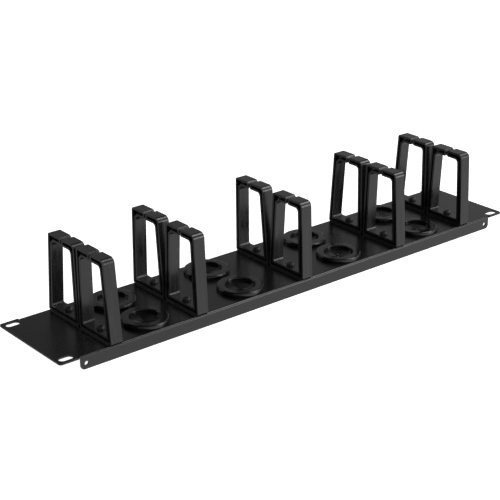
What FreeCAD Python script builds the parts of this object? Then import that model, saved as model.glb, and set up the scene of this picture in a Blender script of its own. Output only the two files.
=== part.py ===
"""Horizontal cable manager, 19 inch, two rack units high.

A folded sheet-steel panel carries ten slit plastic cable rings in five columns of two,
and eight rubber grommets with star-cut membranes in the gaps between the columns.
Each ring is held by one cross-recess screw with a nut behind the panel.

Frame, millimetres: the panel lies on the free edges of its two flanges with its front face up.
+X runs along the rack width, +Y from the front row to the back row, +Z out of the front face.
The origin is the middle of the footprint, at the level of the flange edges.
"""
import FreeCAD, Part
import math
import os
import Sketcher

SIZES = [
    # panel
    ("panel_length", 482.6, "overall length, 19 inch rack"),
    ("panel_height", 88.1, "overall height, two rack units"),
    ("panel_depth", 11.2, "front face to the free edge of the flanges"),
    ("sheet_thickness", 1.5, "steel sheet"),
    ("bend_radius", 0.6, "inside radius of the two bends"),
    ("ear_length", 18.0, "flat ear past the end of the flanges"),
    ("flange_corner", 3.5, "radius of the flanges' free end corners"),
    ("relief_width", 1.0, "slot between a flange end and the ear"),
    ("relief_margin", 0.6, "how far that slot runs past the bend"),
    ("ear_corner", 2.5, "radius of the panel's four corners"),
    # rack mounting slots and flange holes
    ("slot_inset_x", 8.75, "slot centre in from the panel's end"),
    ("slot_inset_y", 5.95, "slot centre in from the panel's long edge"),
    ("slot_length", 12.0, "slot, end to end"),
    ("slot_width", 6.8, "slot, across"),
    ("side_hole_diameter", 3.5, "hole near each flange end"),
    ("side_hole_inset", 5.0, "hole centre in from the flange's end"),
    ("side_hole_drop", 6.5, "hole centre below the front face"),
    # places of the rings
    ("column_inset", 32.6, "first and fifth ring columns in from the flanges' ends"),
    ("column_pitch", 81.4, "from the first ring column to the second"),
    ("row_spacing", 44.45, "between the front and the back row"),
    # cable ring
    ("ring_foot", 43.2, "outer width at the foot"),
    ("ring_head", 36.4, "outer width at the head"),
    ("ring_height", 67.0, "foot to head"),
    ("ring_band", 10.4, "width of the band along the panel"),
    ("leg_thickness", 5.3, "thickness of the two legs"),
    ("base_thickness", 5.3, "thickness of the base"),
    ("bar_thickness", 5.8, "thickness of the split top bar"),
    ("split_width", 1.6, "gap between the two halves of the top bar"),
    ("split_mouth", 1.6, "bevel of the bar ends at the mouth"),
    ("split_lip", 0.8, "bevel of the bar ends inside the ring"),
    ("head_back_corner", 2.0, "outer corner, back leg to top bar"),
    ("head_front_corner", 4.5, "outer corner, front leg to top bar"),
    ("foot_corner", 1.2, "bevel of the outer corners at the foot"),
    ("window_back_corner", 4.5, "inner corner, back leg to top bar"),
    ("window_front_corner", 3.0, "inner corner, front leg to top bar"),
    ("window_foot_corner", 0.8, "bevel of the inner corners at the base"),
    ("ring_rib", 1.8, "rib left on each side of the groove"),
    ("groove_depth", 3.0, "groove round each side face"),
    # how far each ring's head stands off true, towards the back row
    ("lean_back_1", -2.0, "ring 1, back row"),
    ("lean_back_2", 1.9, "ring 2, back row"),
    ("lean_back_3", 3.6, "ring 3, back row"),
    ("lean_back_4", -1.8, "ring 4, back row"),
    ("lean_back_5", -1.9, "ring 5, back row"),
    ("lean_front_1", 3.2, "ring 1, front row"),
    ("lean_front_2", 0.1, "ring 2, front row"),
    ("lean_front_3", -1.2, "ring 3, front row"),
    ("lean_front_4", 0.9, "ring 4, front row"),
    ("lean_front_5", -0.2, "ring 5, front row"),
    # grommet
    ("grommet_hole", 34.0, "hole in the panel"),
    ("grommet_play", 0.1, "radial play of the grommet in its hole"),
    ("grommet_flange", 39.0, "diameter of the front flange"),
    ("grommet_rise", 3.6, "height of the front flange over the panel"),
    ("grommet_shoulder", 1.4, "bevel of the front flange"),
    ("grommet_opening", 25.0, "clear diameter above the membrane"),
    ("grommet_back_flange", 37.0, "diameter of the flange behind the panel"),
    ("grommet_back_rise", 2.0, "height of the flange behind the panel"),
    ("grommet_back_taper", 1.2, "how far the back flange narrows to lead into its hole"),
    ("membrane_level", 0.8, "top of the membrane over the panel"),
    ("membrane_thickness", 1.0, "rubber membrane"),
    ("membrane_cut", 0.5, "width of the star cuts"),
    ("membrane_margin", 1.2, "uncut rim of the membrane"),
    # fastening of a ring
    ("screw_diameter", 4.0, "shank"),
    ("screw_length", 10.0, "shank, under the head"),
    ("screw_head_diameter", 7.0, "head"),
    ("screw_head_height", 2.4, "head"),
    ("screw_clearance", 0.25, "radial clearance of the screw in ring and panel"),
    ("thread_play", 0.05, "radial play of the screw in its nut"),
    ("nut_across_flats", 7.0, "nut"),
    ("nut_thickness", 3.2, "nut"),
]

# sizes that follow from the ones above
DERIVED = [
    ("flange_length", "panel_length - 2 * ear_length", "length of the folded flanges"),
    ("column_outer", "flange_length / 2 - column_inset", "outer ring columns from the middle"),
    ("column_inner", "column_outer - column_pitch", "inner ring columns from the middle"),
    ("groove_head_cut", "(2 - sqrt(2)) * (head_front_corner - ring_rib)",
     "bevel that takes the groove round the front leg's outer corner"),
    ("groove_back_cut", "(2 - sqrt(2)) * (window_back_corner + ring_rib)",
     "bevel that takes the groove round the back leg's inner corner"),
    ("groove_front_cut", "(2 - sqrt(2)) * (window_front_corner + ring_rib)",
     "bevel that takes the groove round the front leg's inner corner"),
]

COLUMNS = [
    "-sizes.column_outer",
    "-sizes.column_inner",
    "0",
    "sizes.column_inner",
    "sizes.column_outer",
]
GROMMET_COLUMNS = [
    "-(sizes.column_outer + sizes.column_inner) / 2",
    "-sizes.column_inner / 2",
    "sizes.column_inner / 2",
    "(sizes.column_outer + sizes.column_inner) / 2",
]
ROWS = {"back": "sizes.row_spacing / 2", "front": "-sizes.row_spacing / 2"}
STAR_CUTS = 4
TOLERANCE = 1e-4

document = FreeCAD.newDocument("cable_manager")


# ---------------------------------------------------------------- helpers

def fill_sheet():
    """Put every driving size in the sheet, with its name as the alias."""
    sheet = document.addObject("Spreadsheet::Sheet", "sizes")
    derived = [(name, f"={formula}", note) for name, formula, note in DERIVED]
    for row, (name, value, note) in enumerate(SIZES + derived, start=1):
        sheet.set(f"A{row}", name)
        sheet.set(f"B{row}", str(value))
        sheet.set(f"C{row}", note)
        sheet.setAlias(f"B{row}", name)
    document.recompute()


def new_body(label, x, y, z):
    """A body whose own origin stands at the given place of the panel."""
    body = document.addObject("PartDesign::Body", label)
    body.Label = label
    for axis, expression in zip("xyz", (x, y, z)):
        body.setExpression(f".Placement.Base.{axis}", expression)
    return body


def new_sketch(body, name, plane, level=None):
    """A sketch on one of the body's origin planes, lifted by level."""
    sketch = body.newObject("Sketcher::SketchObject", name)
    support = [item for item in body.Origin.OriginFeatures if item.Role == plane]
    sketch.AttachmentSupport = [(support[0], "")]
    sketch.MapMode = "FlatFace"
    if level:
        sketch.setExpression(".AttachmentOffset.Base.z", level)
    return sketch


def tie(sketch, kind, geometry, point, expression):
    """Hold a point's distance from the sketch origin to an expression."""
    index = sketch.addConstraint(Sketcher.Constraint(kind, -1, 1, geometry, point, 1.0))
    sketch.setExpression(f"Constraints[{index}]", expression)


def draw_outline(sketch, corners):
    """Closed outline of straight sides, each corner tied to the sheet."""
    places = list(corners.values())
    count = len(places)
    first = sketch.GeometryCount
    start = [FreeCAD.Vector(math.cos(2 * math.pi * n / count),
                            math.sin(2 * math.pi * n / count), 0) for n in range(count)]
    for n in range(count):
        sketch.addGeometry(Part.LineSegment(start[n], start[(n + 1) % count]), False)
    for n in range(count):
        following = first + (n + 1) % count
        sketch.addConstraint(Sketcher.Constraint("Coincident", first + n, 2, following, 1))
    for n, (across, along) in enumerate(places):
        tie(sketch, "DistanceX", first + n, 1, across)
        tie(sketch, "DistanceY", first + n, 1, along)


def draw_circle(sketch, x, y, diameter):
    """Circle whose centre and diameter are tied to the sheet."""
    upright = FreeCAD.Vector(0, 0, 1)
    circle = sketch.addGeometry(Part.Circle(FreeCAD.Vector(0, 0, 0), upright, 1.0), False)
    tie(sketch, "DistanceX", circle, 3, x)
    tie(sketch, "DistanceY", circle, 3, y)
    index = sketch.addConstraint(Sketcher.Constraint("Diameter", circle, 1.0))
    sketch.setExpression(f"Constraints[{index}]", diameter)


def draw_slot(sketch, x, y, length, width):
    """Round-ended slot along the sketch's X axis."""
    upright = FreeCAD.Vector(0, 0, 1)
    quarter = math.pi / 2
    arcs = []
    for side, first_angle in ((1, -quarter), (-1, quarter)):
        circle = Part.Circle(FreeCAD.Vector(side, 0, 0), upright, 0.5)
        arc = Part.ArcOfCircle(circle, first_angle, first_angle + 2 * quarter)
        arcs.append(sketch.addGeometry(arc, False))
    right, left = arcs
    top = sketch.addGeometry(Part.LineSegment(FreeCAD.Vector(1, 0.5, 0),
                                              FreeCAD.Vector(-1, 0.5, 0)), False)
    bottom = sketch.addGeometry(Part.LineSegment(FreeCAD.Vector(-1, -0.5, 0),
                                                 FreeCAD.Vector(1, -0.5, 0)), False)
    for line, arc_from, arc_to in ((top, right, left), (bottom, left, right)):
        sketch.addConstraint(Sketcher.Constraint("Coincident", arc_from, 2, line, 1))
        sketch.addConstraint(Sketcher.Constraint("Coincident", line, 2, arc_to, 1))
    for side, arc in ((1, right), (-1, left)):
        for end in (1, 2):
            sketch.addConstraint(Sketcher.Constraint("Vertical", arc, end, arc, 3))
        tie(sketch, "DistanceX", arc, 3, f"{x} + {side} * ({length} - {width}) / 2")
        tie(sketch, "DistanceY", arc, 3, y)
    index = sketch.addConstraint(Sketcher.Constraint("Diameter", right, 1.0))
    sketch.setExpression(f"Constraints[{index}]", width)
    sketch.addConstraint(Sketcher.Constraint("Equal", right, left))


def pad(body, name, sketch, length, symmetric=False, downwards=False):
    feature = body.newObject("PartDesign::Pad", name)
    feature.Profile = sketch
    feature.setExpression("Length", length)
    feature.SideType = "Symmetric" if symmetric else "One side"
    feature.Reversed = downwards
    document.recompute()
    return feature


def pocket(body, name, sketch, depth=None, upwards=False):
    """Cut a sketch out of the body: to a depth, or right through both ways."""
    before = body.Shape.Volume
    feature = body.newObject("PartDesign::Pocket", name)
    feature.Profile = sketch
    if depth:
        feature.setExpression("Length", depth)
        feature.Reversed = upwards
    else:
        feature.Type = "ThroughAll"
        feature.SideType = "Symmetric"
    document.recompute()
    if not body.Shape.Volume < before:
        raise RuntimeError(f"{body.Label}: {name} cuts nothing")
    return feature


def keep_faces_apart(body):
    """Leave flat faces that meet in one plane unmerged, so each ear has its own back face."""
    for feature in body.Group:
        if hasattr(feature, "Refine"):
            feature.Refine = False
    document.recompute()


def revolve(body, name, sketch):
    """Turn a sketch drawn right of its upright axis a full turn about that axis."""
    feature = body.newObject("PartDesign::Revolution", name)
    feature.Profile = sketch
    feature.ReferenceAxis = (sketch, ["V_Axis"])
    feature.Angle = 360.0
    document.recompute()
    return feature


def break_edges(body, name, kind, test, size):
    """Fillet or chamfer the edges of the last feature whose middles pass the test."""
    base = body.Tip
    picked = [f"Edge{number}" for number, edge in enumerate(base.Shape.Edges, start=1)
              if test(edge.CenterOfMass)]
    feature = body.newObject(f"PartDesign::{kind}", name)
    feature.Base = (base, picked)
    feature.setExpression("Radius" if kind == "Fillet" else "Size", size)
    document.recompute()
    return feature


def near(value, target):
    return abs(value - target) < TOLERANCE


# ---------------------------------------------------------------- panel

def build_panel():
    """Steel sheet with both long edges folded back and flat ears at its ends."""
    body = new_body("panel", "0", "0", "0")

    outer = "sizes.panel_height / 2"
    inner = "(sizes.panel_height / 2 - sizes.sheet_thickness)"
    back = "(sizes.panel_depth - sizes.sheet_thickness)"
    section = new_sketch(body, "section", "YZ_Plane")
    draw_outline(section, {
        "front edge, outside": (f"-{outer}", "0"),
        "front bend, outside": (f"-{outer}", "sizes.panel_depth"),
        "back bend, outside": (outer, "sizes.panel_depth"),
        "back edge, outside": (outer, "0"),
        "back edge, inside": (inner, "0"),
        "back bend, inside": (inner, back),
        "front bend, inside": (f"-{inner}", back),
        "front edge, inside": (f"-{inner}", "0"),
    })
    pad(body, "folded_sheet", section, "sizes.flange_length", symmetric=True)
    face = sheet_value("panel_depth")
    sheet = sheet_value("sheet_thickness")
    half_height = sheet_value("panel_height") / 2
    half_flange = sheet_value("flange_length") / 2
    half_length = sheet_value("panel_length") / 2
    break_edges(body, "outer_bends", "Fillet",
                lambda middle: near(middle.z, face) and near(abs(middle.y), half_height),
                "sizes.bend_radius + sizes.sheet_thickness")
    break_edges(body, "inner_bends", "Fillet",
                lambda middle: near(middle.z, face - sheet)
                and near(abs(middle.y), half_height - sheet),
                "sizes.bend_radius")
    break_edges(body, "flange_corners", "Fillet",
                lambda middle: near(middle.z, 0) and near(abs(middle.x), half_flange),
                "sizes.flange_corner")

    ear = new_sketch(body, "ears_outline", "XY_Plane", "sizes.panel_depth")
    root = "sizes.flange_length / 2"
    clear = "(sizes.flange_length / 2 + sizes.relief_width)"
    tip = "sizes.panel_length / 2"
    slot_end = ("(sizes.panel_height / 2 - sizes.sheet_thickness"
                " - sizes.bend_radius - sizes.relief_margin)")
    for side in ("", "-"):
        draw_outline(ear, {
            "root, front": (f"{side}{root}", f"-{slot_end}"),
            "relief end, front": (f"{side}{clear}", f"-{slot_end}"),
            "relief mouth, front": (f"{side}{clear}", f"-{outer}"),
            "tip, front": (f"{side}{tip}", f"-{outer}"),
            "tip, back": (f"{side}{tip}", outer),
            "relief mouth, back": (f"{side}{clear}", outer),
            "relief end, back": (f"{side}{clear}", slot_end),
            "root, back": (f"{side}{root}", slot_end),
        })
    pad(body, "ears", ear, "sizes.sheet_thickness", downwards=True)
    break_edges(body, "ear_corners", "Fillet",
                lambda middle: near(abs(middle.x), half_length)
                and near(abs(middle.y), half_height),
                "sizes.ear_corner")

    openings = new_sketch(body, "openings", "XY_Plane", "sizes.panel_depth")
    for side_x in ("", "-"):
        for side_y in ("", "-"):
            draw_slot(openings, f"{side_x}(sizes.panel_length / 2 - sizes.slot_inset_x)",
                      f"{side_y}(sizes.panel_height / 2 - sizes.slot_inset_y)",
                      "sizes.slot_length", "sizes.slot_width")
    for row in ROWS.values():
        for column in GROMMET_COLUMNS:
            draw_circle(openings, column, row, "sizes.grommet_hole")
        for column in COLUMNS:
            draw_circle(openings, column, row, "sizes.screw_diameter + 2 * sizes.screw_clearance")
    pocket(body, "cut_openings", openings, "2 * sizes.sheet_thickness")

    side_holes = new_sketch(body, "side_holes", "XZ_Plane")
    for side in ("", "-"):
        draw_circle(side_holes, f"{side}(sizes.flange_length / 2 - sizes.side_hole_inset)",
                    "sizes.panel_depth - sizes.side_hole_drop", "sizes.side_hole_diameter")
    pocket(body, "cut_side_holes", side_holes)
    keep_faces_apart(body)
    return body


# ---------------------------------------------------------------- cable ring

def build_ring(label, column, row, lean):
    """Slit ring: a tapered band on edge, its top bar split, both side faces grooved."""
    body = new_body(label, column, row, "sizes.panel_depth")

    def flank(side, level, inset="0"):
        """Across the ring: a leg's outer flank at a level, moved in by inset."""
        taper = f"(sizes.ring_foot - sizes.ring_head) * ({level}) / sizes.ring_height"
        shift = f"{lean} * ({level}) / sizes.ring_height"
        return f"{side} * ((sizes.ring_foot - {taper}) / 2 - ({inset})) + {shift}"

    head = "sizes.ring_height"
    ceiling = "(sizes.ring_height - sizes.bar_thickness)"
    floor = "sizes.base_thickness"
    wall = "sizes.leg_thickness"
    split = "sizes.split_width / 2"
    corners = {
        "foot_back": (flank(1, "0"), "0"),
        "head_back": (flank(1, head), head),
        "mouth_back": (f"{lean} + {split}", head),
        "lip_back": (f"{lean} + {split}", ceiling),
        "window_back": (flank(1, ceiling, wall), ceiling),
        "floor_back": (flank(1, floor, wall), floor),
        "floor_front": (flank(-1, floor, wall), floor),
        "window_front": (flank(-1, ceiling, wall), ceiling),
        "lip_front": (f"{lean} - {split}", ceiling),
        "mouth_front": (f"{lean} - {split}", head),
        "head_front": (flank(-1, head), head),
        "foot_front": (flank(-1, "0"), "0"),
    }
    profile = new_sketch(body, f"{label}_profile", "YZ_Plane")
    draw_outline(profile, corners)
    pad(body, f"{label}_band", profile, "sizes.ring_band", symmetric=True)
    places = {name: profile.Geometry[number].StartPoint for number, name in enumerate(corners)}

    def at_corner(*names):
        spots = [places[name] for name in names]
        return lambda middle: any(near(middle.y, spot.x) and near(middle.z, spot.y)
                                  for spot in spots)

    roundings = {
        "head_back_corner": ("Fillet", "head_back"),
        "head_front_corner": ("Fillet", "head_front"),
        "window_back_corner": ("Fillet", "window_back"),
        "window_front_corner": ("Fillet", "window_front"),
        "foot_corner": ("Chamfer", "foot_back", "foot_front"),
        "window_foot_corner": ("Chamfer", "floor_back", "floor_front"),
        "split_mouth": ("Chamfer", "mouth_back", "mouth_front"),
        "split_lip": ("Chamfer", "lip_back", "lip_front"),
    }
    for size, (kind, *names) in roundings.items():
        break_edges(body, f"{label}_{size}", kind, at_corner(*names), f"sizes.{size}")

    rib = "sizes.ring_rib"
    stop = f"({split} + {rib})"
    groove_head = f"({head} - {rib})"
    groove_ceiling = f"({ceiling} + {rib})"
    groove_floor = f"({floor} - {rib})"
    inner = f"{wall} - {rib}"
    head_cut, back_cut, front_cut = (f"sizes.groove_{end}_cut" for end in ("head", "back", "front"))
    back_level = f"({groove_ceiling} - {back_cut})"
    front_level = f"({groove_ceiling} - {front_cut})"
    outer_level = f"({groove_head} - {head_cut})"
    groove = {
        "foot_back": (flank(1, rib, rib), rib),
        "head_back": (flank(1, groove_head, rib), groove_head),
        "stop_back": (f"{lean} + {stop}", groove_head),
        "return_back": (f"{lean} + {stop}", groove_ceiling),
        "window_back_bar": (flank(1, groove_ceiling, f"{inner} + {back_cut}"), groove_ceiling),
        "window_back_leg": (flank(1, back_level, inner), back_level),
        "floor_back": (flank(1, groove_floor, inner), groove_floor),
        "floor_front": (flank(-1, groove_floor, inner), groove_floor),
        "window_front_leg": (flank(-1, front_level, inner), front_level),
        "window_front_bar": (flank(-1, groove_ceiling, f"{inner} + {front_cut}"), groove_ceiling),
        "return_front": (f"{lean} - {stop}", groove_ceiling),
        "stop_front": (f"{lean} - {stop}", groove_head),
        "head_front_bar": (flank(-1, groove_head, f"{rib} + {head_cut}"), groove_head),
        "head_front_leg": (flank(-1, outer_level, rib), outer_level),
        "foot_front": (flank(-1, rib, rib), rib),
    }
    for end, side, rightwards in (("left", "-1", True), ("right", "1", False)):
        outline = new_sketch(body, f"{label}_groove_{end}", "YZ_Plane", f"{side} * sizes.ring_band / 2")
        draw_outline(outline, groove)
        pocket(body, f"{label}_{end}_groove", outline, "sizes.groove_depth", upwards=rightwards)

    hole = new_sketch(body, f"{label}_hole_outline", "XY_Plane")
    draw_circle(hole, "0", "0", "sizes.screw_diameter + 2 * sizes.screw_clearance")
    pocket(body, f"{label}_hole", hole, "sizes.base_thickness", upwards=True)
    return body


# ---------------------------------------------------------------- grommet

def build_grommet(label, column, row):
    """Rubber grommet snapped into its hole, closed by a star-cut membrane."""
    body = new_body(label, column, row, "sizes.panel_depth")
    throat = "sizes.grommet_opening / 2"
    flange = "sizes.grommet_flange / 2"
    back_flange = "sizes.grommet_back_flange / 2"
    neck = "(sizes.grommet_hole / 2 - sizes.grommet_play)"
    behind = "-sizes.sheet_thickness"
    bottom = "-(sizes.sheet_thickness + sizes.grommet_back_rise)"
    section = new_sketch(body, f"{label}_section", "XZ_Plane")
    draw_outline(section, {
        "membrane centre, top": ("0", "sizes.membrane_level"),
        "membrane wall, top": (throat, "sizes.membrane_level"),
        "rim, inside": (throat, "sizes.grommet_rise"),
        "shoulder, top": (f"{flange} - sizes.grommet_shoulder", "sizes.grommet_rise"),
        "shoulder, side": (flange, "sizes.grommet_rise - sizes.grommet_shoulder"),
        "flange on the panel": (flange, "0"),
        "neck, front": (neck, "0"),
        "neck, back": (neck, behind),
        "back flange on the panel": (back_flange, behind),
        "back flange, end": (f"{back_flange} - sizes.grommet_back_taper", bottom),
        "throat, back": (throat, bottom),
        "membrane wall, bottom": (throat, "sizes.membrane_level - sizes.membrane_thickness"),
        "membrane centre, bottom": ("0", "sizes.membrane_level - sizes.membrane_thickness"),
    })
    revolve(body, f"{label}_turned", section)

    cut = new_sketch(body, f"{label}_cut_outline", "XY_Plane")
    reach = "(sizes.grommet_opening / 2 - sizes.membrane_margin)"
    half_cut = "sizes.membrane_cut / 2"
    draw_outline(cut, {
        "front left": (f"-{reach}", f"-{half_cut}"),
        "front right": (reach, f"-{half_cut}"),
        "back right": (reach, half_cut),
        "back left": (f"-{reach}", half_cut),
    })
    first = pocket(body, f"{label}_cut", cut)
    star = body.newObject("PartDesign::PolarPattern", f"{label}_star")
    star.Originals = [first]
    star.Axis = (cut, ["N_Axis"])
    star.Angle = 180.0 * (STAR_CUTS - 1) / STAR_CUTS
    star.Occurrences = STAR_CUTS
    body.Tip = star
    document.recompute()
    return body


# ---------------------------------------------------------------- screw and nut

def build_screw(label, column, row):
    """Pan-head screw, its head down on the ring's base."""
    body = new_body(label, column, row, "sizes.panel_depth + sizes.base_thickness")
    shank = "sizes.screw_diameter / 2"
    head = "sizes.screw_head_diameter / 2"
    section = new_sketch(body, f"{label}_section", "XZ_Plane")
    draw_outline(section, {
        "end, centre": ("0", "-sizes.screw_length"),
        "end": (shank, "-sizes.screw_length"),
        "shank under the head": (shank, "0"),
        "head, seat": (head, "0"),
        "head, top": (head, "sizes.screw_head_height"),
        "head, centre": ("0", "sizes.screw_head_height"),
    })
    revolve(body, f"{label}_turned", section)
    return body


def build_nut(label, column, row):
    """Hexagon nut drawn up against the back of the panel."""
    level = "sizes.panel_depth - sizes.sheet_thickness"
    body = new_body(label, column, row, level)
    flat = "sizes.nut_across_flats / 2"
    corner = "sizes.nut_across_flats / sqrt(3)"
    outline = new_sketch(body, f"{label}_outline", "XY_Plane")
    draw_outline(outline, {
        "right": (corner, "0"),
        "back right": (f"{corner} / 2", flat),
        "back left": (f"-{corner} / 2", flat),
        "left": (f"-{corner}", "0"),
        "front left": (f"-{corner} / 2", f"-{flat}"),
        "front right": (f"{corner} / 2", f"-{flat}"),
    })
    draw_circle(outline, "0", "0", "sizes.screw_diameter + 2 * sizes.thread_play")
    pad(body, f"{label}_blank", outline, "sizes.nut_thickness", downwards=True)
    return body


# ---------------------------------------------------------------- assembly

def sheet_value(name):
    return getattr(document.sizes, name)


def group(label, bodies):
    """Identical small pieces, kept as separate solids under one name."""
    compound = document.addObject("Part::Compound", label)
    compound.Label = label
    compound.Links = bodies
    return compound


def build_all():
    subparts = [build_panel()]
    for row_name, row in ROWS.items():
        for number, column in enumerate(COLUMNS, start=1):
            subparts.append(build_ring(f"cable_ring_{row_name}_{number}", column, row,
                                       f"sizes.lean_{row_name}_{number}"))
        grommets = [build_grommet(f"grommet_{row_name}_{number}", column, row)
                    for number, column in enumerate(GROMMET_COLUMNS, start=1)]
        subparts.append(group(f"grommets_{row_name}", grommets))
    for number, column in enumerate(COLUMNS, start=1):
        for kind, build in (("screw", build_screw), ("nut", build_nut)):
            pair = [build(f"{kind}_{row_name}_{number}", column, row)
                    for row_name, row in ROWS.items()]
            subparts.append(group(f"{kind}s_column_{number}", pair))
    document.recompute()
    return subparts


def check(subparts):
    """Stop if any object failed or any sub-part's shape is missing or broken."""
    for item in document.Objects:
        if "Invalid" in item.State or "Error" in item.State:
            raise RuntimeError(f"{item.Label} failed: {item.State}")
    for item in subparts:
        if item.Shape.isNull() or not item.Shape.isValid():
            raise RuntimeError(f"{item.Label} has no valid shape")


def export(subparts):
    os.makedirs("parts", exist_ok=True)
    for item in subparts:
        item.Shape.exportStep(f"parts/{item.Label}.step")
        box = item.Shape.BoundBox
        print(f"{item.Label}: {len(item.Shape.Solids)} solid(s), {item.Shape.Volume:.1f} mm3, "
              f"z {box.ZMin:.2f} to {box.ZMax:.2f}")


fill_sheet()
all_subparts = build_all()
check(all_subparts)
export(all_subparts)
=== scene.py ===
"""Looks for a horizontal cable manager: panel, cable rings, grommets, screws and nuts.

Everything is in metres in the part's own frame: the panel lies on its flanges, +X runs along
the rack width, +Y from the front row to the back row, +Z out of the panel's front face.
"""
import math

import bmesh
import bpy
from mathutils import Matrix, Vector


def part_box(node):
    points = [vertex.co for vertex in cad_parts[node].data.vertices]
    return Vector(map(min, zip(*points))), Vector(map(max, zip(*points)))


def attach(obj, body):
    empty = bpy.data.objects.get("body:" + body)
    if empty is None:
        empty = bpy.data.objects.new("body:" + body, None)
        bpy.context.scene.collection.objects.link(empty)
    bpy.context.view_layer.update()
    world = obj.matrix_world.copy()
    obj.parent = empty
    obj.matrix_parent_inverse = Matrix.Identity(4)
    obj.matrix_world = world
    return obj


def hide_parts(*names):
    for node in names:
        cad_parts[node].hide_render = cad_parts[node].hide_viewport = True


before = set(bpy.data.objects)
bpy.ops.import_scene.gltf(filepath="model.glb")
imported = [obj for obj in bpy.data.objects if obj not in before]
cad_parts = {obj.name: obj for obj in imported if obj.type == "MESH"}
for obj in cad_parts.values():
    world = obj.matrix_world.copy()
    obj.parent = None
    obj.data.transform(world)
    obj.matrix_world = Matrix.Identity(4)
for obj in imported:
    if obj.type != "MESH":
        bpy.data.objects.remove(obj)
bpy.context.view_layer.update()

bl_info = {
    "name": "Horizontal cable manager",
    "version": (1, 0, 0),
    "blender": (4, 5, 0),
    "location": "3D View > Sidebar > Cable manager",
    "description": "Finishes for a rack cable manager with slit rings and grommets",
    "category": "Object",
}

MM = 0.001
ROWS = ("back", "front")
COLUMNS = (1, 2, 3, 4, 5)
PETALS = 8
FLAT = 0.01 * MM

# grommet section, from the panel's front face
THROAT = 12.5 * MM
NECK = 16.9 * MM
BACK_FLANGE = 18.5 * MM
BACK_TAPER = 1.2 * MM
SHEET = 1.5 * MM
MEMBRANE_LEVEL = 0.8 * MM
LEDGE = 11.3 * MM
PETAL_REACH = 11.45 * MM
PETAL_RINGS = 10
PETAL_STEPS = 8
PETAL_UNEVENNESS = 0.12
TURN_STEPS = 96

# screw
HEAD_HEIGHT = 2.4 * MM
SHANK = 2.0 * MM
HEAD_DOME = 1.7 * MM
CROSS_ARM = 0.5 * MM
CROSS_TIP = 1.9 * MM
CROSS_DEPTH = 1.2 * MM
CROSS_TAPER = 0.8

NUT_CHAMFER = 0.3 * MM


# ---------------------------------------------------------------- settings

class CableManagerForms(bpy.types.PropertyGroup):
    """Rounded edges and moulded detail."""
    sheet_edge: bpy.props.FloatProperty(
        name="Sheet edge", description="Rounding left by the powder coat on the cut edges",
        default=0.22 * MM, unit="LENGTH", precision=5)
    ring_edge: bpy.props.FloatProperty(
        name="Ring edge", description="Rounding along both faces of a ring's band",
        default=0.8 * MM, unit="LENGTH", precision=5)
    ring_corner: bpy.props.FloatProperty(
        name="Ring corner", description="Rounding of the bevelled corners of a ring",
        default=0.45 * MM, unit="LENGTH", precision=5)
    grommet_shoulder: bpy.props.FloatProperty(
        name="Grommet shoulder", description="Rounding of a grommet's front flange",
        default=1.5 * MM, unit="LENGTH", precision=5)
    grommet_lip: bpy.props.FloatProperty(
        name="Grommet lip", description="Rounding at the mouth of a grommet",
        default=0.7 * MM, unit="LENGTH", precision=5)
    membrane_thickness: bpy.props.FloatProperty(
        name="Membrane", description="Thickness of the star-cut membrane",
        default=1.0 * MM, unit="LENGTH", precision=5)
    membrane_dip: bpy.props.FloatProperty(
        name="Membrane dip", description="How far the petals hang at the middle",
        default=2.0 * MM, unit="LENGTH", precision=5)
    membrane_cut: bpy.props.FloatProperty(
        name="Membrane cut", description="Width of the cuts between the petals",
        default=0.05 * MM, unit="LENGTH", precision=5)


class CableManagerFinishes(bpy.types.PropertyGroup):
    """Colours of the finishes."""
    powder: bpy.props.FloatVectorProperty(
        name="Powder coat", description="Colour of the panel", subtype="COLOR",
        default=(0.004, 0.004, 0.0045), min=0, max=1)
    plastic: bpy.props.FloatVectorProperty(
        name="Ring plastic", description="Colour of the cable rings", subtype="COLOR",
        default=(0.01, 0.01, 0.0105), min=0, max=1)
    rubber: bpy.props.FloatVectorProperty(
        name="Rubber", description="Colour of the grommets", subtype="COLOR",
        default=(0.006, 0.006, 0.006), min=0, max=1)
    steel: bpy.props.FloatVectorProperty(
        name="Black steel", description="Colour of the screws and nuts", subtype="COLOR",
        default=(0.008, 0.008, 0.0085), min=0, max=1)


class CableManagerStage(bpy.types.PropertyGroup):
    """Camera and studio light."""
    camera_place: bpy.props.FloatVectorProperty(
        name="Camera", description="Where the camera stands", subtype="TRANSLATION",
        default=(-0.70529, -0.83000, 0.47291), precision=5)
    camera_azimuth: bpy.props.FloatProperty(
        name="Azimuth", description="Camera turned from straight along +Y",
        default=math.radians(-39.3110), subtype="ANGLE")
    camera_elevation: bpy.props.FloatProperty(
        name="Elevation", description="Camera above the horizon",
        default=math.radians(22.4321), subtype="ANGLE")
    camera_roll: bpy.props.FloatProperty(
        name="Roll", description="Camera turned about its own axis",
        default=math.radians(-0.3160), subtype="ANGLE")
    lens: bpy.props.FloatProperty(
        name="Lens", description="Focal length on a 36 mm wide sensor",
        default=99.878, unit="CAMERA")
    floor: bpy.props.FloatVectorProperty(
        name="Floor", description="Colour of the floor", subtype="COLOR",
        default=(0.9, 0.9, 0.9), min=0, max=1)
    glow: bpy.props.FloatProperty(
        name="Floor glow", description="Light from the floor itself, as on a light table",
        default=1.0, min=0)
    ambient: bpy.props.FloatProperty(
        name="Ambient", description="Mean brightness of the tent round the object",
        default=0.54, min=0)
    ambient_slope: bpy.props.FloatVectorProperty(
        name="Ambient slope", description="How the tent's brightness rises along each axis",
        default=(0.23, -0.32, -0.5))
    front: bpy.props.FloatProperty(
        name="Front light", description="Soft light low at the front right", default=10.0,
        unit="POWER")
    top: bpy.props.FloatProperty(
        name="Top light", description="Soft light above the right", default=12.5, unit="POWER")
    back: bpy.props.FloatProperty(
        name="Back light", description="Soft light above the back left", default=4.0, unit="POWER")


# ---------------------------------------------------------------- mesh helpers

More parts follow.
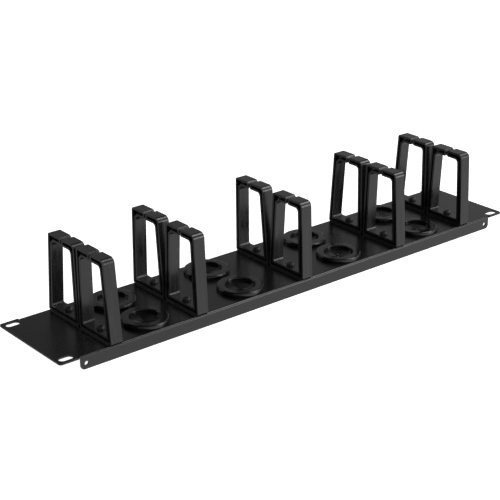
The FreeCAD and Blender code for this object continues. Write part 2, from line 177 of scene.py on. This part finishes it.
def cad_copy(node):
    """A closed mesh of flat faces, copied from a CAD node's triangles."""
    bm = bmesh.new()
    bm.from_mesh(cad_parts[node].data)
    bmesh.ops.remove_doubles(bm, verts=bm.verts, dist=0.002 * MM)
    bmesh.ops.dissolve_limit(bm, angle_limit=math.radians(0.4), verts=bm.verts, edges=bm.edges,
                             use_dissolve_boundaries=False, delimit={"NORMAL"})
    return bm


def bevel(bm, edges, offset, segments=3):
    """Round some edges."""
    return bmesh.ops.bevel(bm, geom=edges, offset=offset, offset_type="OFFSET", segments=segments,
                           profile=0.5, affect="EDGES", clamp_overlap=True, material=-1)


def sharp_edges(bm, least_degrees):
    """Edges whose two faces turn by more than an angle."""
    least = math.radians(least_degrees)
    return [e for e in bm.edges if len(e.link_faces) == 2 and e.calc_face_angle(0.0) > least]


def finished(bm, name, material, node, smooth_degrees=35.0):
    """Turn a mesh into a piece that stands for a CAD node and rides with the part."""
    mesh = bpy.data.meshes.new(name)
    bm.to_mesh(mesh)
    bm.free()
    mesh.materials.append(material)
    for polygon in mesh.polygons:
        polygon.use_smooth = True
    mesh.set_sharp_from_angle(angle=math.radians(smooth_degrees))
    piece = bpy.data.objects.new(name, mesh)
    bpy.context.scene.collection.objects.link(piece)
    weighted = piece.modifiers.new("even_shading", "WEIGHTED_NORMAL")
    weighted.keep_sharp = True
    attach(piece, "root")
    if node:
        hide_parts(node)
    return piece


def turned(bm, corners, centre, steps):
    """A solid of revolution about the upright axis through centre, from closed (r, z) corners."""
    verts = [bm.verts.new((centre.x + r, centre.y, centre.z + z)) for r, z in corners]
    edges = [bm.edges.new((verts[n], verts[(n + 1) % len(verts)])) for n in range(len(verts))]
    bmesh.ops.spin(bm, geom=verts + edges, cent=centre, axis=(0, 0, 1), angle=2 * math.pi,
                   steps=steps, use_merge=True)
    bmesh.ops.remove_doubles(bm, verts=bm.verts, dist=0.001 * MM)


def circle_edges(bm, centre, r, z):
    """Edges of the circle at a radius and height about centre."""
    def on_circle(v):
        away = v.co - centre
        return abs(math.hypot(away.x, away.y) - r) < FLAT and abs(away.z - z) < FLAT
    return [e for e in bm.edges if on_circle(e.verts[0]) and on_circle(e.verts[1])]


# ---------------------------------------------------------------- materials

def socket(group, name, kind, direction, default=None):
    """Add an input or output to a node group."""
    made = group.interface.new_socket(name=name, in_out=direction, socket_type=kind)
    if default is not None:
        made.default_value = default


def grain_group():
    """Fine pebbled surface of a powder coat or a textured mould."""
    name = "fine_grain"
    if name in bpy.data.node_groups:
        return bpy.data.node_groups[name]
    group = bpy.data.node_groups.new(name, "ShaderNodeTree")
    socket(group, "Grain size", "NodeSocketFloat", "INPUT", 900.0)
    socket(group, "Depth", "NodeSocketFloat", "INPUT", 0.2)
    socket(group, "Roughness", "NodeSocketFloat", "INPUT", 0.45)
    socket(group, "Roughness change", "NodeSocketFloat", "INPUT", 0.08)
    socket(group, "Patch size", "NodeSocketVector", "INPUT", (35.0, 35.0, 35.0))
    socket(group, "Roughness", "NodeSocketFloat", "OUTPUT")
    socket(group, "Normal", "NodeSocketVector", "OUTPUT")
    nodes, links = group.nodes, group.links
    entry = nodes.new("NodeGroupInput")
    leave = nodes.new("NodeGroupOutput")
    place = nodes.new("ShaderNodeTexCoord")
    grain = nodes.new("ShaderNodeTexNoise")
    grain.inputs["Detail"].default_value = 3.0
    grain.inputs["Roughness"].default_value = 0.6
    bump = nodes.new("ShaderNodeBump")
    bump.inputs["Distance"].default_value = 0.05 * MM
    spread = nodes.new("ShaderNodeMapRange")
    spread.inputs["From Min"].default_value = 0.3
    spread.inputs["From Max"].default_value = 0.7
    spread.inputs["To Min"].default_value = -0.5
    spread.inputs["To Max"].default_value = 0.5
    scaled = nodes.new("ShaderNodeMath")
    scaled.operation = "MULTIPLY_ADD"
    patches = nodes.new("ShaderNodeTexNoise")
    patches.inputs["Scale"].default_value = 1.0
    stretch = nodes.new("ShaderNodeMapping")
    patches.inputs["Detail"].default_value = 4.0
    links.new(place.outputs["Object"], grain.inputs["Vector"])
    links.new(entry.outputs["Grain size"], grain.inputs["Scale"])
    links.new(grain.outputs["Fac"], bump.inputs["Height"])
    links.new(entry.outputs["Depth"], bump.inputs["Strength"])
    links.new(place.outputs["Object"], stretch.inputs["Vector"])
    links.new(entry.outputs["Patch size"], stretch.inputs["Scale"])
    links.new(stretch.outputs["Vector"], patches.inputs["Vector"])
    links.new(patches.outputs["Fac"], spread.inputs["Value"])
    links.new(spread.outputs["Result"], scaled.inputs[0])
    links.new(entry.outputs["Roughness change"], scaled.inputs[1])
    links.new(entry.outputs["Roughness"], scaled.inputs[2])
    links.new(scaled.outputs["Value"], leave.inputs["Roughness"])
    links.new(bump.outputs["Normal"], leave.inputs["Normal"])
    return group


def tone_group():
    """Slight clouding of a dark colour, as pigment and handling leave it."""
    name = "tone_clouding"
    if name in bpy.data.node_groups:
        return bpy.data.node_groups[name]
    group = bpy.data.node_groups.new(name, "ShaderNodeTree")
    socket(group, "Colour", "NodeSocketColor", "INPUT", (0.02, 0.02, 0.02, 1))
    socket(group, "Clouding", "NodeSocketFloat", "INPUT", 0.25)
    socket(group, "Cloud size", "NodeSocketVector", "INPUT", (40.0, 40.0, 40.0))
    socket(group, "Colour", "NodeSocketColor", "OUTPUT")
    nodes, links = group.nodes, group.links
    entry = nodes.new("NodeGroupInput")
    leave = nodes.new("NodeGroupOutput")
    place = nodes.new("ShaderNodeTexCoord")
    stretch = nodes.new("ShaderNodeMapping")
    cloud = nodes.new("ShaderNodeTexNoise")
    cloud.inputs["Scale"].default_value = 1.0
    cloud.inputs["Detail"].default_value = 5.0
    centred = nodes.new("ShaderNodeMath")
    centred.operation = "SUBTRACT"
    centred.inputs[1].default_value = 0.5
    amount = nodes.new("ShaderNodeMath")
    amount.operation = "MULTIPLY_ADD"
    amount.inputs[2].default_value = 1.0
    shade = nodes.new("ShaderNodeHueSaturation")
    links.new(place.outputs["Object"], stretch.inputs["Vector"])
    links.new(entry.outputs["Cloud size"], stretch.inputs["Scale"])
    links.new(stretch.outputs["Vector"], cloud.inputs["Vector"])
    links.new(cloud.outputs["Fac"], centred.inputs[0])
    links.new(centred.outputs["Value"], amount.inputs[0])
    links.new(entry.outputs["Clouding"], amount.inputs[1])
    links.new(amount.outputs["Value"], shade.inputs["Value"])
    links.new(entry.outputs["Colour"], shade.inputs["Color"])
    links.new(shade.outputs["Color"], leave.inputs["Colour"])
    return group


def finish_material(name, colour, *, roughness, gloss_change, grain_size, grain_depth, clouding,
                    cloud_size):
    """A black finish: clouded colour, fine grain, gloss that changes with the clouding."""
    material = bpy.data.materials.get(name)
    if material:
        return material
    material = bpy.data.materials.new(name)
    material.use_nodes = True
    nodes, links = material.node_tree.nodes, material.node_tree.links
    shader = nodes["Principled BSDF"]
    tone = nodes.new("ShaderNodeGroup")
    tone.node_tree = tone_group()
    tone.inputs["Colour"].default_value = (*colour, 1.0)
    tone.inputs["Clouding"].default_value = clouding
    tone.inputs["Cloud size"].default_value = cloud_size
    grain = nodes.new("ShaderNodeGroup")
    grain.node_tree = grain_group()
    grain.inputs["Grain size"].default_value = grain_size
    grain.inputs["Depth"].default_value = grain_depth
    grain.inputs["Roughness"].default_value = roughness
    grain.inputs["Roughness change"].default_value = gloss_change
    grain.inputs["Patch size"].default_value = cloud_size
    links.new(tone.outputs["Colour"], shader.inputs["Base Color"])
    links.new(grain.outputs["Roughness"], shader.inputs["Roughness"])
    links.new(grain.outputs["Normal"], shader.inputs["Normal"])
    return material


def powder_coat(context):
    """Smooth satin powder coat of the panel."""
    return finish_material(
        "black_powder_coat", context.scene.cable_manager_finishes.powder, roughness=0.26,
        gloss_change=0.06, grain_size=1400.0, grain_depth=0.2, clouding=0.5,
        cloud_size=(40.0, 40.0, 40.0))


def ring_plastic(context):
    """Moulded plastic with faint flow streaks up the legs."""
    return finish_material(
        "black_ring_plastic", context.scene.cable_manager_finishes.plastic, roughness=0.23,
        gloss_change=0.22, grain_size=900.0, grain_depth=0.1, clouding=2.0,
        cloud_size=(450.0, 450.0, 14.0))


def grommet_rubber(context):
    """Soft rubber with a low sheen."""
    return finish_material(
        "black_grommet_rubber", context.scene.cable_manager_finishes.rubber, roughness=0.16,
        gloss_change=0.05, grain_size=700.0, grain_depth=0.08, clouding=0.5,
        cloud_size=(60.0, 60.0, 60.0))


def black_steel(context):
    """Blackened steel of the screws and nuts."""
    return finish_material(
        "black_fastener_steel", context.scene.cable_manager_finishes.steel, roughness=0.42,
        gloss_change=0.08, grain_size=2500.0, grain_depth=0.1, clouding=0.5,
        cloud_size=(200.0, 200.0, 200.0))


# ---------------------------------------------------------------- pieces

class CABLE_MANAGER_OT_panel(bpy.types.Operator):
    """Coat the folded panel and round its cut edges"""
    bl_idname = "cable_manager.panel"
    bl_label = "Panel"

    def execute(self, context):
        forms = context.scene.cable_manager_forms
        bm = cad_copy("panel")
        bevel(bm, sharp_edges(bm, 50.0), forms.sheet_edge, 2)
        finished(bm, "coated_panel", powder_coat(context), "panel")
        return {"FINISHED"}


class CABLE_MANAGER_OT_rings(bpy.types.Operator):
    """Round the ten cable rings and give them their plastic"""
    bl_idname = "cable_manager.rings"
    bl_label = "Cable rings"

    def execute(self, context):
        forms = context.scene.cable_manager_forms
        material = ring_plastic(context)
        for row in ROWS:
            for column in COLUMNS:
                node = f"cable_ring_{row}_{column}"
                low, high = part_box(node)
                middle = (low.x + high.x) / 2
                half_band = (high.x - low.x) / 2
                bm = cad_copy(node)
                corners = [e for e in sharp_edges(bm, 30.0)
                           if abs(e.verts[0].co.x - e.verts[1].co.x) > half_band]
                bevel(bm, corners, forms.ring_corner, 3)
                rims = [e for e in bm.edges
                        if abs(abs(e.verts[0].co.x - middle) - half_band) < FLAT
                        and abs(abs(e.verts[1].co.x - middle) - half_band) < FLAT
                        and e.calc_face_angle(0.0) > math.radians(30.0)]
                bevel(bm, rims, forms.ring_edge, 4)
                finished(bm, f"moulded_ring_{row}_{column}", material, node)
        return {"FINISHED"}


class CABLE_MANAGER_OT_grommets(bpy.types.Operator):
    """Turn the eight grommets and hang the petals of their membranes"""
    bl_idname = "cable_manager.grommets"
    bl_label = "Grommets"

    def execute(self, context):
        forms = context.scene.cable_manager_forms
        material = grommet_rubber(context)
        front_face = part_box("panel")[1].z
        for row in ROWS:
            node = f"grommets_{row}"
            low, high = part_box(node)
            flange = (high.y - low.y) / 2
            rise = high.z - front_face
            back = low.z - front_face
            outer = (high.x - low.x) / 2 - flange
            ring_low, ring_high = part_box(f"cable_ring_{row}_4")
            inner = (ring_low.x + ring_high.x) / 4  # half way from the middle ring to this one
            bm = bmesh.new()
            for x in (-outer, -inner, inner, outer):
                centre = Vector((x, (low.y + high.y) / 2, front_face))
                self.rim(bm, centre, flange, rise, back, forms)
                for petal in range(PETALS):
                    self.petal(bm, centre, petal, forms)
            bmesh.ops.recalc_face_normals(bm, faces=bm.faces)
            finished(bm, f"rubber_grommets_{row}", material, node)
        return {"FINISHED"}

    def rim(self, bm, centre, flange, rise, back, forms):
        """Flange, neck and back flange, with a ledge that carries the petals."""
        under = MEMBRANE_LEVEL - forms.membrane_thickness
        rim = bmesh.new()
        turned(rim, [
            (THROAT, MEMBRANE_LEVEL), (THROAT, rise), (flange, rise), (flange, 0.0), (NECK, 0.0),
            (NECK, -SHEET), (BACK_FLANGE, -SHEET), (BACK_FLANGE - BACK_TAPER, back),
            (THROAT, back), (THROAT, under), (LEDGE, under), (LEDGE, MEMBRANE_LEVEL),
        ], centre, TURN_STEPS)
        bevel(rim, circle_edges(rim, centre, flange, rise), forms.grommet_shoulder, 6)
        bevel(rim, circle_edges(rim, centre, THROAT, rise), forms.grommet_lip, 4)
        bevel(rim, circle_edges(rim, centre, flange, 0.0), 0.3 * MM, 2)
        join(bm, rim)

    def petal(self, bm, centre, number, forms):
        """One petal of the star: a wedge that hangs towards the middle."""
        wedge = 2 * math.pi / PETALS
        piece = bmesh.new()
        radii = [PETAL_REACH * n / PETAL_RINGS for n in range(PETAL_RINGS + 1)]
        verts = [piece.verts.new((r, 0, 0)) for r in radii]
        edges = [piece.edges.new(pair) for pair in zip(verts, verts[1:])]
        bmesh.ops.spin(piece, geom=verts + edges, cent=(0, 0, 0), axis=(0, 0, 1), angle=wedge,
                       steps=PETAL_STEPS)
        bmesh.ops.remove_doubles(piece, verts=piece.verts, dist=0.001 * MM)
        bisector = Vector((math.cos(wedge / 2), math.sin(wedge / 2), 0))
        shift = forms.membrane_cut / 2 / math.sin(wedge / 2)
        outward = 1 - shift / PETAL_REACH
        for v in piece.verts:
            v.co = v.co * outward + bisector * shift
        bmesh.ops.solidify(piece, geom=piece.faces, thickness=forms.membrane_thickness)
        unevenness = PETAL_UNEVENNESS * math.sin(2.4 * number + 40 * centre.x)
        droop = forms.membrane_dip * (1.0 + unevenness)
        for v in piece.verts:
            r = math.hypot(v.co.x, v.co.y) / PETAL_REACH
            v.co.z -= droop * (1 - min(r, 1.0))
        turn = Matrix.Rotation(wedge * number, 4, "Z")
        top = max(v.co.z for v in piece.verts)
        place = Matrix.Translation(centre + Vector((0, 0, MEMBRANE_LEVEL - top)))
        bmesh.ops.transform(piece, matrix=place @ turn, verts=piece.verts)
        join(bm, piece)


def join(bm, other):
    """Add another mesh's faces to bm."""
    mesh = bpy.data.meshes.new("joined")
    other.to_mesh(mesh)
    other.free()
    bm.from_mesh(mesh)
    bpy.data.meshes.remove(mesh)


class CABLE_MANAGER_OT_screws(bpy.types.Operator):
    """Turn the screws with their rounded heads and cross recesses"""
    bl_idname = "cable_manager.screws"
    bl_label = "Screws"

    def execute(self, context):
        material = black_steel(context)
        for column in COLUMNS:
            node = f"screws_column_{column}"
            low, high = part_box(node)
            radius = (high.x - low.x) / 2
            bm = bmesh.new()
            for y in (low.y + radius, high.y - radius):
                centre = Vector(((low.x + high.x) / 2, y, high.z))
                self.screw(bm, centre, radius, high.z - low.z)
            finished(bm, f"pan_head_screws_{column}", material, node)
        return {"FINISHED"}

    def screw(self, bm, centre, radius, length):
        """Shank, domed head and cross recess, with the top of the head at centre."""
        screw = bmesh.new()
        made = bmesh.ops.create_circle(screw, cap_ends=True, segments=32, radius=SHANK)
        bmesh.ops.translate(screw, verts=made["verts"], vec=(0, 0, -length))
        face = max(screw.faces, key=lambda f: f.calc_area())
        for r, rise in ((SHANK, length - HEAD_HEIGHT), (radius, 0.0), (radius, HEAD_HEIGHT)):
            grown = bmesh.ops.extrude_face_region(screw, geom=[face])
            verts = [v for v in grown["geom"] if isinstance(v, bmesh.types.BMVert)]
            face = next(f for f in grown["geom"] if isinstance(f, bmesh.types.BMFace))
            now = math.hypot(verts[0].co.x, verts[0].co.y)
            bmesh.ops.scale(screw, verts=verts, vec=(r / now, r / now, 1))
            bmesh.ops.translate(screw, verts=verts, vec=(0, 0, rise))
        rim = [e for e in screw.edges if all(abs(v.co.z) < FLAT for v in e.verts)]
        bevel(screw, rim, HEAD_DOME, 5)
        self.recess(screw)
        bmesh.ops.recalc_face_normals(screw, faces=screw.faces)
        bmesh.ops.translate(screw, verts=screw.verts, vec=centre)
        join(bm, screw)

    def flat_faces(self, screw):
        """Faces of the flat on top of the head."""
        return [f for f in screw.faces
                if f.normal.z > 0.99 and f.calc_center_median().z > -FLAT]

    def recess(self, screw):
        """Press a cross into the flat of the head."""
        for axis in ((1, 0, 0), (0, 1, 0)):
            for distance in (-CROSS_TIP, -CROSS_ARM, CROSS_ARM, CROSS_TIP):
                flat = self.flat_faces(screw)
                geometry = flat + list({e for f in flat for e in f.edges})
                geometry += list({v for f in flat for v in f.verts})
                bmesh.ops.bisect_plane(screw, geom=geometry, dist=0.001 * MM,
                                       plane_co=Vector(axis) * distance, plane_no=axis)
        cross = []
        for f in self.flat_faces(screw):
            near, far = sorted(abs(n) for n in f.calc_center_median().xy)
            if near < CROSS_ARM and far < CROSS_TIP:
                cross.append(f)
        sunk = bmesh.ops.extrude_face_region(screw, geom=cross)
        bmesh.ops.delete(screw, geom=cross, context="FACES")
        verts = [v for v in sunk["geom"] if isinstance(v, bmesh.types.BMVert)]
        bmesh.ops.translate(screw, verts=verts, vec=(0, 0, -CROSS_DEPTH))
        bmesh.ops.scale(screw, verts=verts, vec=(CROSS_TAPER, CROSS_TAPER, 1))


class CABLE_MANAGER_OT_nuts(bpy.types.Operator):
    """Chamfer the nuts behind the panel"""
    bl_idname = "cable_manager.nuts"
    bl_label = "Nuts"

    def execute(self, context):
        material = black_steel(context)
        for column in COLUMNS:
            node = f"nuts_column_{column}"
            bm = cad_copy(node)
            bevel(bm, sharp_edges(bm, 40.0), NUT_CHAMFER, 2)
            finished(bm, f"hexagon_nuts_{column}", material, node)
        return {"FINISHED"}


# ---------------------------------------------------------------- stage

class CABLE_MANAGER_OT_stage(bpy.types.Operator):
    """Set the floor, the studio lights and the camera"""
    bl_idname = "cable_manager.stage"
    bl_label = "Stage"

    def execute(self, context):
        stage = context.scene.cable_manager_stage
        self.floor(context, stage)
        self.lights(context, stage)
        self.camera(context, stage)
        return {"FINISHED"}

    def floor(self, context, stage):
        bm = bmesh.new()
        bmesh.ops.create_grid(bm, x_segments=1, y_segments=1, size=6.0)
        mesh = bpy.data.meshes.new("floor")
        bm.to_mesh(mesh)
        bm.free()
        floor = bpy.data.objects.new("floor", mesh)
        context.scene.collection.objects.link(floor)
        material = bpy.data.materials.new("pale_floor")
        material.use_nodes = True
        shader = material.node_tree.nodes["Principled BSDF"]
        shader.inputs["Base Color"].default_value = (*stage.floor, 1.0)
        shader.inputs["Roughness"].default_value = 0.9
        shader.inputs["Specular IOR Level"].default_value = 0.1
        shader.inputs["Emission Color"].default_value = (1, 1, 1, 1)
        shader.inputs["Emission Strength"].default_value = stage.glow
        floor.data.materials.append(material)
        floor.visible_glossy = False
        floor.visible_diffuse = False

    def lights(self, context, stage):
        world = bpy.data.worlds.new("studio")
        context.scene.world = world
        world.use_nodes = True
        nodes, links = world.node_tree.nodes, world.node_tree.links
        back = nodes["Background"]
        back.inputs["Color"].default_value = (1, 1, 1, 1)
        way = nodes.new("ShaderNodeTexCoord")
        slope = nodes.new("ShaderNodeVectorMath")
        slope.operation = "DOT_PRODUCT"
        slope.inputs[1].default_value = stage.ambient_slope
        level = nodes.new("ShaderNodeMath")
        level.operation = "ADD"
        level.inputs[1].default_value = stage.ambient
        links.new(way.outputs["Generated"], slope.inputs[0])
        links.new(slope.outputs["Value"], level.inputs[0])
        links.new(level.outputs["Value"], back.inputs["Strength"])
        lamps = (
            ("front", (1.28, -1.68, 0.5), 0.8, stage.front),
            ("top", (1.22, -0.25, 1.69), 0.9, stage.top),
            ("back", (-0.8, 1.45, 1.15), 0.9, stage.back),
        )
        for name, place, size, power in lamps:
            lamp = bpy.data.lights.new(name, "AREA")
            lamp.shape = "SQUARE"
            lamp.size = size
            lamp.energy = power
            light = bpy.data.objects.new(name, lamp)
            light.location = place
            aim = Vector((0, 0, 0.03)) - Vector(place)
            light.rotation_euler = aim.to_track_quat("-Z", "Y").to_euler()
            light.visible_camera = False
            context.scene.collection.objects.link(light)

    def camera(self, context, stage):
        data = bpy.data.cameras.new("camera")
        data.sensor_width = 36.0
        data.lens = stage.lens
        data.clip_start = 0.01
        data.clip_end = 50.0
        camera = bpy.data.objects.new("camera", data)
        turn = (Matrix.Rotation(stage.camera_azimuth, 4, "Z")
                @ Matrix.Rotation(math.pi / 2 - stage.camera_elevation, 4, "X")
                @ Matrix.Rotation(stage.camera_roll, 4, "Z"))
        camera.matrix_world = Matrix.Translation(Vector(stage.camera_place)) @ turn
        context.scene.collection.objects.link(camera)
        context.scene.camera = camera
        context.scene.view_settings.view_transform = "Standard"


# ---------------------------------------------------------------- add-on

class CABLE_MANAGER_PT_sidebar(bpy.types.Panel):
    bl_idname = "CABLE_MANAGER_PT_sidebar"
    bl_label = "Cable manager"
    bl_space_type = "VIEW_3D"
    bl_region_type = "UI"
    bl_category = "Cable manager"

    def draw(self, context):
        layout = self.layout
        for settings in (context.scene.cable_manager_forms, context.scene.cable_manager_finishes,
                         context.scene.cable_manager_stage):
            box = layout.box()
            for name in settings.bl_rna.properties.keys():
                if name not in ("rna_type", "name"):
                    box.prop(settings, name)
        for operator in OPERATORS:
            layout.operator(operator.bl_idname)


OPERATORS = (
    CABLE_MANAGER_OT_panel,
    CABLE_MANAGER_OT_rings,
    CABLE_MANAGER_OT_grommets,
    CABLE_MANAGER_OT_screws,
    CABLE_MANAGER_OT_nuts,
    CABLE_MANAGER_OT_stage,
)
SETTINGS = {
    "cable_manager_forms": CableManagerForms,
    "cable_manager_finishes": CableManagerFinishes,
    "cable_manager_stage": CableManagerStage,
}


def register():
    for name, group in SETTINGS.items():
        bpy.utils.register_class(group)
        setattr(bpy.types.Scene, name, bpy.props.PointerProperty(type=group))
    for operator in OPERATORS:
        bpy.utils.register_class(operator)
    bpy.utils.register_class(CABLE_MANAGER_PT_sidebar)


def unregister():
    bpy.utils.unregister_class(CABLE_MANAGER_PT_sidebar)
    for operator in reversed(OPERATORS):
        bpy.utils.unregister_class(operator)
    for name, group in SETTINGS.items():
        delattr(bpy.types.Scene, name)
        bpy.utils.unregister_class(group)


def main():
    register()
    bpy.ops.cable_manager.panel()
    bpy.ops.cable_manager.rings()
    bpy.ops.cable_manager.grommets()
    bpy.ops.cable_manager.screws()
    bpy.ops.cable_manager.nuts()
    bpy.ops.cable_manager.stage()


if __name__ == "__main__":
    main()
